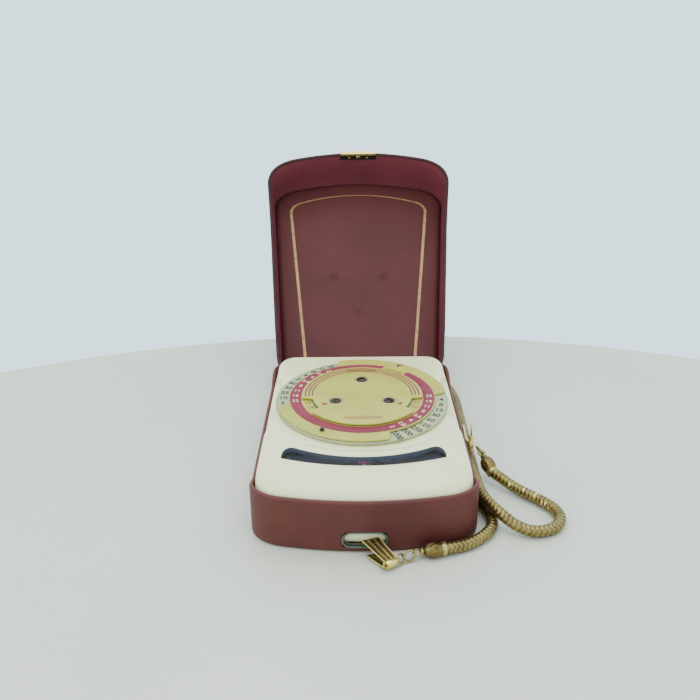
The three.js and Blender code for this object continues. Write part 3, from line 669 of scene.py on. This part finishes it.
def make_eyelet():
    """Oval eyelet: a thin rolled rim outside the leather and a sleeve through the wall."""
    middle_z = 4.1
    stations = [
        (5.75, 2.2, FRONT_Y + 1.3), (5.75, 2.2, FRONT_Y - 0.02), (5.95, 2.35, FRONT_Y - 0.05),
        (5.9, 2.3, FRONT_Y - 0.2), (5.65, 2.05, FRONT_Y - 0.24), (5.45, 1.9, FRONT_Y - 0.1),
        (5.4, 1.85, FRONT_Y + 0.2), (5.4, 1.85, FRONT_Y + 1.3),
    ]
    rings = [
        [(x, y, middle_z + z) for x, z in rounded_slot(half_x, half_z)]
        for half_x, half_z, y in stations
    ]
    points, faces = loft(rings, capped=False)
    piece("oval_eyelet", points, faces, "nickel", "case", replaces=("slot_eyelet",))


make_tray()
make_eyelet()


# ---- Lid -----------------------------------------------------------------------------------------


def rim_height(y):
    """Height of the closed lid's rim: it meets the tray's dip, and reaches low round the front."""
    return 13.5 + 2.4 * smoothstep((y - 25) / 7) - 7.0 * smoothstep((-12.5 - y) / 25)


def make_lid():
    outside = []
    for inset, z in ((3.6, LID_TOP), (2.4, 25.36), (1.3, 25.1), (0.6, 24.6), (0.15, 23.8), (0.0, 22.8)):
        outside.append(at_height(lid_outline(inset), z))
    for share in (0.3, 0.65, 1.0):
        outside.append([
            (x, y, 22.8 + (rim_height(y) + 0.6 - 22.8) * share) for x, y in lid_outline(0)
        ])
    rim = []
    for inset, lift in ((0.1, 0.2), (0.35, 0.0), (0.8, 0.0), (1.05, 0.2), (LEATHER, 0.6)):
        rim.append([(x, y, rim_height(y) + lift) for x, y in lid_outline(inset)])
    inside_rings = []
    for share in (0.35, 0.7, 1.0):
        inside_rings.append([
            (x, y, rim_height(y) + 0.6 + (21.8 - rim_height(y)) * share) for x, y in lid_outline(LEATHER)
        ])
    for inset, z in ((1.4, 23.3), (2.0, 23.95), (3.2, 24.05)):
        inside_rings.append(at_height(lid_outline(inset), z))
    rings = outside + rim + inside_rings
    points, faces = loft([[opened(p) for p in ring] for ring in rings])
    lid = piece("leather_lid", points, faces, "leather", "lid", replaces=("lid_shell",))
    lid.data.materials.append(looks["lining"])
    lid.data.materials.append(looks["leather_edge"])
    edge_row = len(outside) - 1
    lining_row = edge_row + len(rim)
    for face in lid.data.polygons:
        row = face.index // len(rings[0])
        if lining_row <= row < len(rings) - 1:
            face.material_index = 1
        elif edge_row <= row < lining_row:
            face.material_index = 2


def pad_height(x, y):
    """Underside of the padded board in the closed lid: a shallow crown with three dimples."""
    u = min(abs(x) / 29, 1)
    v = min(abs(y) / 40, 1)
    height = 22.15 - 0.35 * (1 - u ** 4) * (1 - v ** 4)
    for cx, cy in ((-8.9, 1.0), (8.9, 1.0), (0.2, 15.8)):
        d = math.hypot(x - cx, y - cy)
        height += 0.9 * math.exp(-(d / 1.25) ** 2)
    return height


def make_pad():
    """Board of the lid: soft edges, and a face that follows pad_height."""
    rings = [at_height(lid_outline(LEATHER + 2.2), 23.75)]
    for inset, z in ((0.8, 23.7), (0.6, 23.3), (0.75, 22.8), (1.3, 22.4)):
        rings.append(at_height(lid_outline(LEATHER + inset), z))
    base = lid_outline(LEATHER + 2.1)
    for k in range(70):
        share = 1 - k / 70
        rings.append([(x * share, y * share, pad_height(x * share, y * share)) for x, y in base])
    points, faces = loft([[opened(p) for p in ring] for ring in rings])
    pad = piece("lid_board", points, faces, "pad_leather", "lid", replaces=("lid_pad",))


def make_gold_line():
    """Stamped frame line: up one side, round the arched front and down the other, open at the hinge."""
    path = []
    for i in range(25):
        y = 33 - 60 * i / 24
        path.append((18.6 + 6.1 * (33 - y) / 60, y))
    path += corner(path[-1], (25.1, -30.6), (20.5, -31.8), 10)[1:]
    arch = [(20.5 * (1 - i / 14), -31.8 - 3.2 * (1 - (1 - i / 14) ** 2)) for i in range(1, 15)]
    path += arch
    path += [(-x, y) for x, y in reversed(path[:-1])]
    rings = []
    for k, (x, y) in enumerate(path):
        x0, y0 = path[max(k - 1, 0)]
        x1, y1 = path[min(k + 1, len(path) - 1)]
        size = math.hypot(x1 - x0, y1 - y0)
        half = 0.16 + 0.32 * abs(y1 - y0) / size
        nx, ny = -(y1 - y0) / size * half, (x1 - x0) / size * half
        z = pad_height(x, y)
        rings.append([
            opened(p) for p in (
                (x - nx, y - ny, z + 0.05), (x - nx, y - ny, z - 0.03),
                (x + nx, y + ny, z - 0.03), (x + nx, y + ny, z + 0.05),
            )
        ])
    points, faces = loft(rings)
    piece("gold_line", points, faces, "gold_foil", "lid")


make_lid()
make_pad()
make_gold_line()


def make_clasp():
    """Brass bar over the rim of the end wall, and its dark plate inside the wall."""
    wall = FRONT_Y - LID_GAP

    def slab(name, x, y0, y1, z0, z1, look):
        round_by = 0.2
        outline = []
        for quarter, (side, y) in enumerate(((1, y1 - round_by), (-1, y1 - round_by),
                                             (-1, y0 + round_by), (1, y0 + round_by))):
            for i in range(5):
                a = math.radians(90 * quarter + 22.5 * i)
                outline.append((side * (x - round_by) + round_by * math.cos(a), y + round_by * math.sin(a)))
        points, faces = prism(outline, z0, z1)
        piece(name, [opened(p) for p in points], faces, look, "lid", replaces=("lid_clasp",))
    slab("clasp_bar", 6.3, wall - 0.9, wall + 0.4, 5.5, 6.5, "brass")
    slab("clasp_plate", 6.6, wall + 0.02, wall + 0.42, 6.5, 8.7, "dark_metal")
    outer = wall - LEATHER
    for k, x in enumerate((-3.2, 3.2)):
        profile = [(wall + 0.62, 0.15), (wall + 0.58, 0.4), (wall + 0.4, 0.5), (outer + 0.1, 0.4),
                   (outer, 0.75), (outer - 0.2, 0.7), (outer - 0.32, 0.45), (outer - 0.36, 0.1)]
        points, faces = turned(profile, 28)
        points = [opened((x + a, y, 7.7 + b)) for y, a, b in points]
        piece(f"plate_rivet_{k + 1}", points, faces, "brass", "lid", replaces=(f"clasp_rivet_{k + 1}",))


make_clasp()


def make_hinge():
    """Leather fold from the tray's rear wall round to the back of the lid."""
    path = [
        (40.84, 4.8), (40.84, 7.5), (40.84, 10), (40.85, 11.1), (40.96, 11.7), (41.26, 11.95),
        (41.58, 11.6), (41.82, 11.0), (42.45, 10.15), (43.1, 9.28), (43.6, 8.6),
    ]
    rings = []
    for k, (y, z) in enumerate(path):
        y0, z0 = path[max(k - 1, 0)]
        y1, z1 = path[min(k + 1, len(path) - 1)]
        size = math.hypot(y1 - y0, z1 - z0)
        ny, nz = -(z1 - z0) / size * 0.2, (y1 - y0) / size * 0.2
        near = [(-21 + 42 * i / 12, y - ny, z - nz) for i in range(13)]
        far = [(x, y + ny, z + nz) for x, _, _ in reversed(near)]
        rings.append(near + far)
    points, faces = loft(rings)
    hinge = piece("hinge_fold", points, faces, "leather", None)
    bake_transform(hinge)
    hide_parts("hinge_strip")


make_hinge()


# ---- Meter housing -------------------------------------------------------------------------------

WINDOW_ARC = 60
WINDOW_Y = -25.6
WINDOW_WIDTH = 4.4
WINDOW_CENTRE = (0, WINDOW_Y + WINDOW_ARC)
WINDOW_HALF_DEG = math.degrees(0.362)
WINDOW_REAR_Y = WINDOW_Y + WINDOW_WIDTH / 2
WINDOW_REAR_ARC = 38
SHELL = 1.6
SHOULDER = 5.4
FINGER_DEPTH = 2.8


def window_edge(x):
    """Rear edge of the window: a tighter arc than its front edge."""
    return WINDOW_REAR_Y + WINDOW_REAR_ARC - math.sqrt(WINDOW_REAR_ARC ** 2 - x * x)


def window_outline():
    """Arched slit with a sharp front edge and two rounded rear corners."""
    steps = 40
    reach = WINDOW_ARC + WINDOW_WIDTH / 2
    start, end = 270 - WINDOW_HALF_DEG, 270 + WINDOW_HALF_DEG
    front = sector(WINDOW_CENTRE, WINDOW_ARC, reach, start, end, steps)[:steps + 1]
    end_x, end_y = front[-1]
    crown = 18.6
    pull = (end_x - 0.3, window_edge(20.6) + 0.2)
    right = corner((end_x, end_y + 1.2), pull, (crown, window_edge(crown)), 8)
    back = [(crown * (1 - i / 18), window_edge(crown * (1 - i / 18))) for i in range(1, 36)]
    left = [(-x, y) for x, y in reversed(right)]
    return front + right + back + left


def paint_window_shade(housing):
    """Painted shade: the walls of the window and the shell's underside near it get the dark slate colour
    below the top edge.
    """
    housing.data.materials.append(looks["slate_paint"])
    for face in housing.data.polygons:
        x, y, z = face.center / MM
        near_window = abs(x) < 22.6 and -32 < y < -16 and PARTING + 0.1 < z < DECK - 0.28
        # Steep faces and faces below the deck, where shade falls, take the slate colour as painted shade.
        under_deck = abs(face.normal.z) < 0.7 or z < 17
        if near_window and under_deck:
            face.material_index = 1


def shoulder(x, y):
    """1 along the sides beside the dial, 0 in front of it and across the ends."""
    return smoothstep((y + 11) / 6) * smoothstep((abs(x) - 12) / 10)


def make_upper_housing():
    """Rounded upper shell with the window, both finger recesses and the opening for the lens."""
    rings = [at_height(meter_outline(0), PARTING)]
    for k in range(19):
        a = math.pi / 2 * k / 18
        turn = 1 - math.cos(a)
        ring = at_height(meter_outline(1.2 * turn, 7 * turn), DECK - SHOULDER * (1 - math.sin(a)))
        rings.append([(x - math.copysign(1.4 * turn * shoulder(x, y), x), y, z) for x, y, z in ring])
    points, faces = loft(rings)
    housing = piece("ivory_housing", points, faces, "ivory_plastic", None)
    cavity = block(-23, -33, PARTING - 1, 23, -4, DECK - SHELL)
    window = tool(window_outline(), 10, 20)
    recesses = []
    for side in (-1, 1):
        outline = [(side * x, y) for x, y in ((23.2, -0.2), (30, -8.6), (30, 27), (24.2, 22.5))]
        recesses.append(tool(outline, DECK - FINGER_DEPTH, DECK + 2))
    lens = block(-21.7, REAR_Y - 6, 4.8, 21.7, REAR_Y + 1, 15.2)
    cut(housing, cavity, window, *recesses, lens, edge=0.3)
    paint_window_shade(housing)
    register(housing, "meter", ("upper_housing",))


make_upper_housing()


def make_brow():
    """Soft ridge in the ivory behind the window, fading out at both ends."""
    rings = []
    count = 12
    for k in range(61):
        share = 2 * k / 60 - 1
        x = 19.5 * share
        slope = x / math.sqrt(WINDOW_REAR_ARC ** 2 - x * x)
        size = math.hypot(1, slope)
        lift = 0.5 * (1 - abs(share) ** 6)

        def at(reach, z):
            return (x - slope / size * reach, window_edge(x) + reach / size, z)
        ring = [at(0.35 + 3.2 * t, DECK - 0.1 + (lift + 0.06) * math.sin(math.pi * t ** 0.6) ** 1.2)
                for t in (i / count for i in range(count + 1))]
        rings.append(ring + [at(3.55, DECK - 0.3), at(0.35, DECK - 0.3)])
    points, faces = loft(rings)
    piece("window_brow", points, faces, "ivory_plastic", "meter", smooth=50)


make_brow()


def make_red_mark():
    """Red patch just under the middle of the window's pane."""
    outline = [(-1.4, -24.1), (1.6, -24.1), (1.5, -21.6), (-1.3, -21.6)]
    points, faces = prism(outline, 16.78, 16.86)
    piece("red_mark", points, faces, "red_ink", "meter")


make_red_mark()


# ---- Dial ----------------------------------------------------------------------------------------

CENTRE = (0, DIAL_Y)
RING_RADIUS = 25.3
HUB_HOLE = 11.1
BAND_INNER = 17.9
BAND_OUTER = 21.2
TIMES_AT = 23.2
STOPS_AT = 19.6
FILM_AT = 16.3
TIME_TOP = 19.7
SPEED_TOP = 20.4
NAME_TOP = 21.3
INK = 0.02


def make_time_ring():
    knurls = 200
    sides = knurls * 4

    def knurl(a):
        return 1 - 0.011 * (0.5 - 0.5 * math.cos(knurls * a))
    rim = [(25.2, 18.75), (RING_RADIUS, 18.95), (RING_RADIUS, 19.45), (25.1, 19.62)]
    rings = revolve([(HUB_HOLE, 18.6), (24.6, 18.6)], sides, CENTRE)
    rings += revolve(rim, sides, CENTRE, knurl)
    rings += revolve([(24.7, TIME_TOP), (HUB_HOLE, TIME_TOP)], sides, CENTRE)
    points, faces = loft(rings, capped=False)
    piece("knurled_ring", points, faces, "scale_metal", "time_ring", smooth=60, replaces=("time_ring",))


def stepped_disc(name, radius_at, inner, z0, z1, look, body, replaces):
    """A thin disc whose rim follows radius_at(degrees), with softened edges."""
    sides = 720
    rings = []
    for shrink, z in ((0.1, z0), (0.0, z0 + 0.08), (0.0, z1 - 0.08), (0.1, z1)):
        ring = []
        for i in range(sides):
            a = 2 * math.pi * i / sides
            r = radius_at(360 * i / sides) - shrink
            ring.append((r * math.cos(a), DIAL_Y + r * math.sin(a), z))
        rings.append(ring)
    rings += revolve([(inner, z1), (inner, z0)], sides, CENTRE)
    points, faces = loft(rings, capped=False)
    return piece(name, points, faces, look, body, replaces=replaces)


def inside(deg, start, end, soft):
    """1 between two angles, falling to 0 over soft degrees at each end."""
    middle = (start + end) / 2
    away = abs((deg - middle + 180) % 360 - 180)
    return smoothstep(((end - start) / 2 - away) / soft + 0.5)


def speed_radius(deg):
    """Rim of the film speed disc, cut back over two sectors to bare the times."""
    return 25.1 - 3.6 * max(inside(deg, -72, 5, 5), inside(deg, 108, 191, 5))


def name_radius(deg):
    """Rim of the top disc, notched over the two film speed scales."""
    return 17.7 - 3.1 * max(inside(deg, 188, 214, 4), inside(deg, 326, 352, 4))


class Print:
    """Flat marks of one ink on a horizontal face."""

    def __init__(self, z):
        self.z = z
        self.points = []
        self.faces = []

    def outline(self, outline):
        points, faces = prism(outline, self.z - 0.01, self.z + INK)
        start = len(self.points)
        self.points += points
        self.faces += [tuple(start + i for i in face) for face in faces]

    def band(self, inner, outer, start, end):
        count = max(4, int(abs(end - start) / 2))
        self.outline(sector(CENTRE, inner, outer, start, end, count))

    def text(self, words, size, radius, deg, turn, weight=0.01):
        """Digits centred at a polar place on the dial, turned by turn degrees."""
        curve = bpy.data.curves.new("digits", "FONT")
        curve.body = words
        curve.size = size
        curve.align_x = "CENTER"
        curve.align_y = "CENTER"
        curve.extrude = (INK + 0.01) / 2
        curve.offset = weight
        curve.resolution_u = 3
        holder = bpy.data.objects.new("digits", curve)
        bpy.context.scene.collection.objects.link(holder)
        mesh = bpy.data.meshes.new_from_object(holder.evaluated_get(bpy.context.evaluated_depsgraph_get()))
        a, t = math.radians(deg), math.radians(turn)
        cx, cy = radius * math.cos(a), DIAL_Y + radius * math.sin(a)
        start = len(self.points)
        for v in mesh.vertices:
            x, y, z = v.co
            place = (cx + x * math.cos(t) - y * math.sin(t), cy + x * math.sin(t) + y * math.cos(t))
            self.points.append((*place, self.z + z + INK / 2 - 0.005))
        self.faces += [tuple(start + i for i in p.vertices) for p in mesh.polygons]
        bpy.data.objects.remove(holder)
        bpy.data.curves.remove(curve)

    def make(self, name, look, body):
        piece(name, self.points, self.faces, look, body)


def make_dial():
    """The two turning discs, with their numbers and the red band."""
    make_time_ring()
    speed = stepped_disc("film_speed_disc", speed_radius, HUB_HOLE, 19.9, SPEED_TOP, "dial_metal", None, ())
    cut(speed, tool(sector(CENTRE, 18.6, 19.9, 50, 68, 12), 19, 21), smooth=35)
    register(speed, "speed_disc", ("speed_disc",))

    times = Print(TIME_TOP)
    for k, words in enumerate(("4", "8", "15", "30", "60", "125", "250", "500", "1000")):
        times.text(words, 2.5, TIMES_AT, -2.5 - 8.0 * k, -2.5 - 8.0 * k, 0.07)
    for k, words in enumerate(("5", "10", "25", "30", "60", "2", "4", "8", "15", "30")):
        times.text(words, 2.5, TIMES_AT, 186 - 8.0 * k, 6 - 8.0 * k, 0.07)
    times.make("time_numbers", "black_ink", "time_ring")

    band = Print(SPEED_TOP)
    band.band(BAND_INNER, BAND_OUTER, 70, 408)
    band.outline([(r * math.cos(math.radians(d)), DIAL_Y + r * math.sin(math.radians(d)))
                  for r, d in ((24.3, 57.6), (22.2, 60), (24.3, 62.4))])
    band.make("red_band", "red_ink", "speed_disc")

    stops = Print(SPEED_TOP + INK)
    for k, words in enumerate(("22", "16", "11", "8", "5.6", "4", "2.8", "2")):
        stops.text(words, 2.0, STOPS_AT, -9.4 * k, -9.4 * k)
        stops.text(words, 2.0, STOPS_AT, 187 - 9.4 * k, 7 - 9.4 * k)
    stops.make("aperture_numbers", "pale_ink", "speed_disc")


make_dial()


def make_name_disc():
    """Disc with two notches; its middle is closed by one flat face on each side."""
    sides = 720
    rings = [[(9 * math.cos(2 * math.pi * i / sides), DIAL_Y + 9 * math.sin(2 * math.pi * i / sides), 20.75)
              for i in range(sides)]]
    for shrink, z in ((0.12, 20.75), (0.0, 20.85), (0.0, 21.15), (0.05, 21.25), (0.15, NAME_TOP)):
        ring = []
        for i in range(sides):
            a = 2 * math.pi * i / sides
            r = name_radius(360 * i / sides) - shrink
            ring.append((r * math.cos(a), DIAL_Y + r * math.sin(a), z))
        rings.append(ring)
    rings.append([(x, y, NAME_TOP) for x, y, _ in rings[0]])
    points, faces = loft(rings)
    piece("dial_plate", points, faces, "dial_metal", "meter", replaces=("name_disc",))

    marks = Print(NAME_TOP)
    for radius in (14.6, 15.6, 16.6):
        marks.band(radius - 0.2, radius + 0.2, -4, 184)
    for k in range(21):
        deg = 74 + 32 * k / 20
        marks.band(14.6, 16.6, deg - 0.3, deg + 0.3)
    for k in range(16):
        x = -5 + 10 * k / 15
        marks.outline([(x - 0.5, DIAL_Y - 15), (x - 0.25, DIAL_Y - 15), (x + 0.5, DIAL_Y - 13.2),
                       (x + 0.25, DIAL_Y - 13.2)])
    for sign in (-1, 1):
        tip = sign * 11.8
        marks.outline([(tip, DIAL_Y - 5.0), (sign * 9.8, DIAL_Y - 6.0), (sign * 11.0, DIAL_Y - 6.9)])
    marks.make("dial_plate_print", "red_ink", "meter")

    film = Print(SPEED_TOP)
    for words, deg, turn in (("15", 194, 14), ("18", 204, 24), ("25", 346, -14), ("50", 336, -24)):
        film.text(words, 2.1, FILM_AT, deg, turn)
    film.make("film_speed_numbers", "red_ink", "speed_disc")


make_name_disc()


SCREWS_AT = 8.9


def make_dial_screws():
    """Three slotted screws, each in a brass cup."""
    for k, deg in enumerate((90, 210, 330)):
        a = math.radians(deg)
        place = (SCREWS_AT * math.cos(a), DIAL_Y + SCREWS_AT * math.sin(a))
        profile = [(0.95, 20.8), (0.95, NAME_TOP), (1.5, 21.32), (1.55, 21.5), (1.35, 21.68), (0.8, 21.76),
                   (0.2, 21.78)]
        points, faces = loft(revolve(profile, 48, place))
        screw = piece(f"slotted_screw_{k + 1}", points, faces, "dark_metal", None)
        turn = math.radians(35 + 50 * k)
        slot_outline = []
        for u, v in ((-2, -0.2), (2, -0.2), (2, 0.2), (-2, 0.2)):
            slot_outline.append((place[0] + u * math.cos(turn) - v * math.sin(turn),
                                 place[1] + u * math.sin(turn) + v * math.cos(turn)))
        cut(screw, tool(slot_outline, 21.5, 23))
        register(screw, "meter", (f"dial_screw_{k + 1}",))
        cup = [(1.7, 21.3), (2.15, 21.31), (2.25, 21.4), (2.1, 21.52), (1.85, 21.5), (1.7, 21.4)]
        points, faces = loft(revolve(cup, 48, place), capped=False)
        piece(f"screw_cup_{k + 1}", points, faces, "brass", "meter")


make_dial_screws()


# ---- CAD nodes that stay -------------------------------------------------------------------------


def dress_nodes():
    """Give every CAD node that still shows the look of its material slot."""
    slots = {row["node"]: row["material_slot"] for row in frame["record"]["subparts"]}
    for name, obj in frame["nodes"].items():
        if obj.hide_render:
            continue
        obj.data.materials.clear()
        obj.data.materials.append(looks[slots[name]])


dress_nodes()


# ---- Stage and light -----------------------------------------------------------------------------

TABLE_RADIUS = 320
TABLE_CENTRE = (5, -222)


def make_stage():
    """Round pale table."""
    looks["table"] = surface("table", (214, 207, 184), 0.5, second=(209, 202, 180), blotch=12, grain=600,
                             bump=0.02)
    profile = [(10, -14), (TABLE_RADIUS - 4, -14), (TABLE_RADIUS, -10), (TABLE_RADIUS, -3),
               (TABLE_RADIUS - 1, -0.8), (TABLE_RADIUS - 3, 0), (10, 0)]
    points, faces = loft(revolve(profile, 256, TABLE_CENTRE))
    table = piece("table_top", points, faces, "table", None)


def area_light(name, place, aim, size, power):
    data = bpy.data.lights.new(name, "AREA")
    data.size = size
    data.energy = power
    light = bpy.data.objects.new(name, data)
    bpy.context.scene.collection.objects.link(light)
    light.location = place
    light.rotation_euler = (Vector(aim) - Vector(place)).to_track_quat("-Z", "Y").to_euler()


def make_light():
    world = bpy.data.worlds.new("world")
    bpy.context.scene.world = world
    world.use_nodes = True
    background = world.node_tree.nodes["Background"]
    background.inputs["Color"].default_value = linear((204, 230, 245))
    background.inputs["Strength"].default_value = 2.45
    area_light("top", (0.0, -0.05, 0.75), (0, 0, 0), 0.7, 3.0)
    area_light("left", (-0.6, -0.35, 0.45), (0, 0, 0), 0.4, 1.2)


make_stage()
make_light()
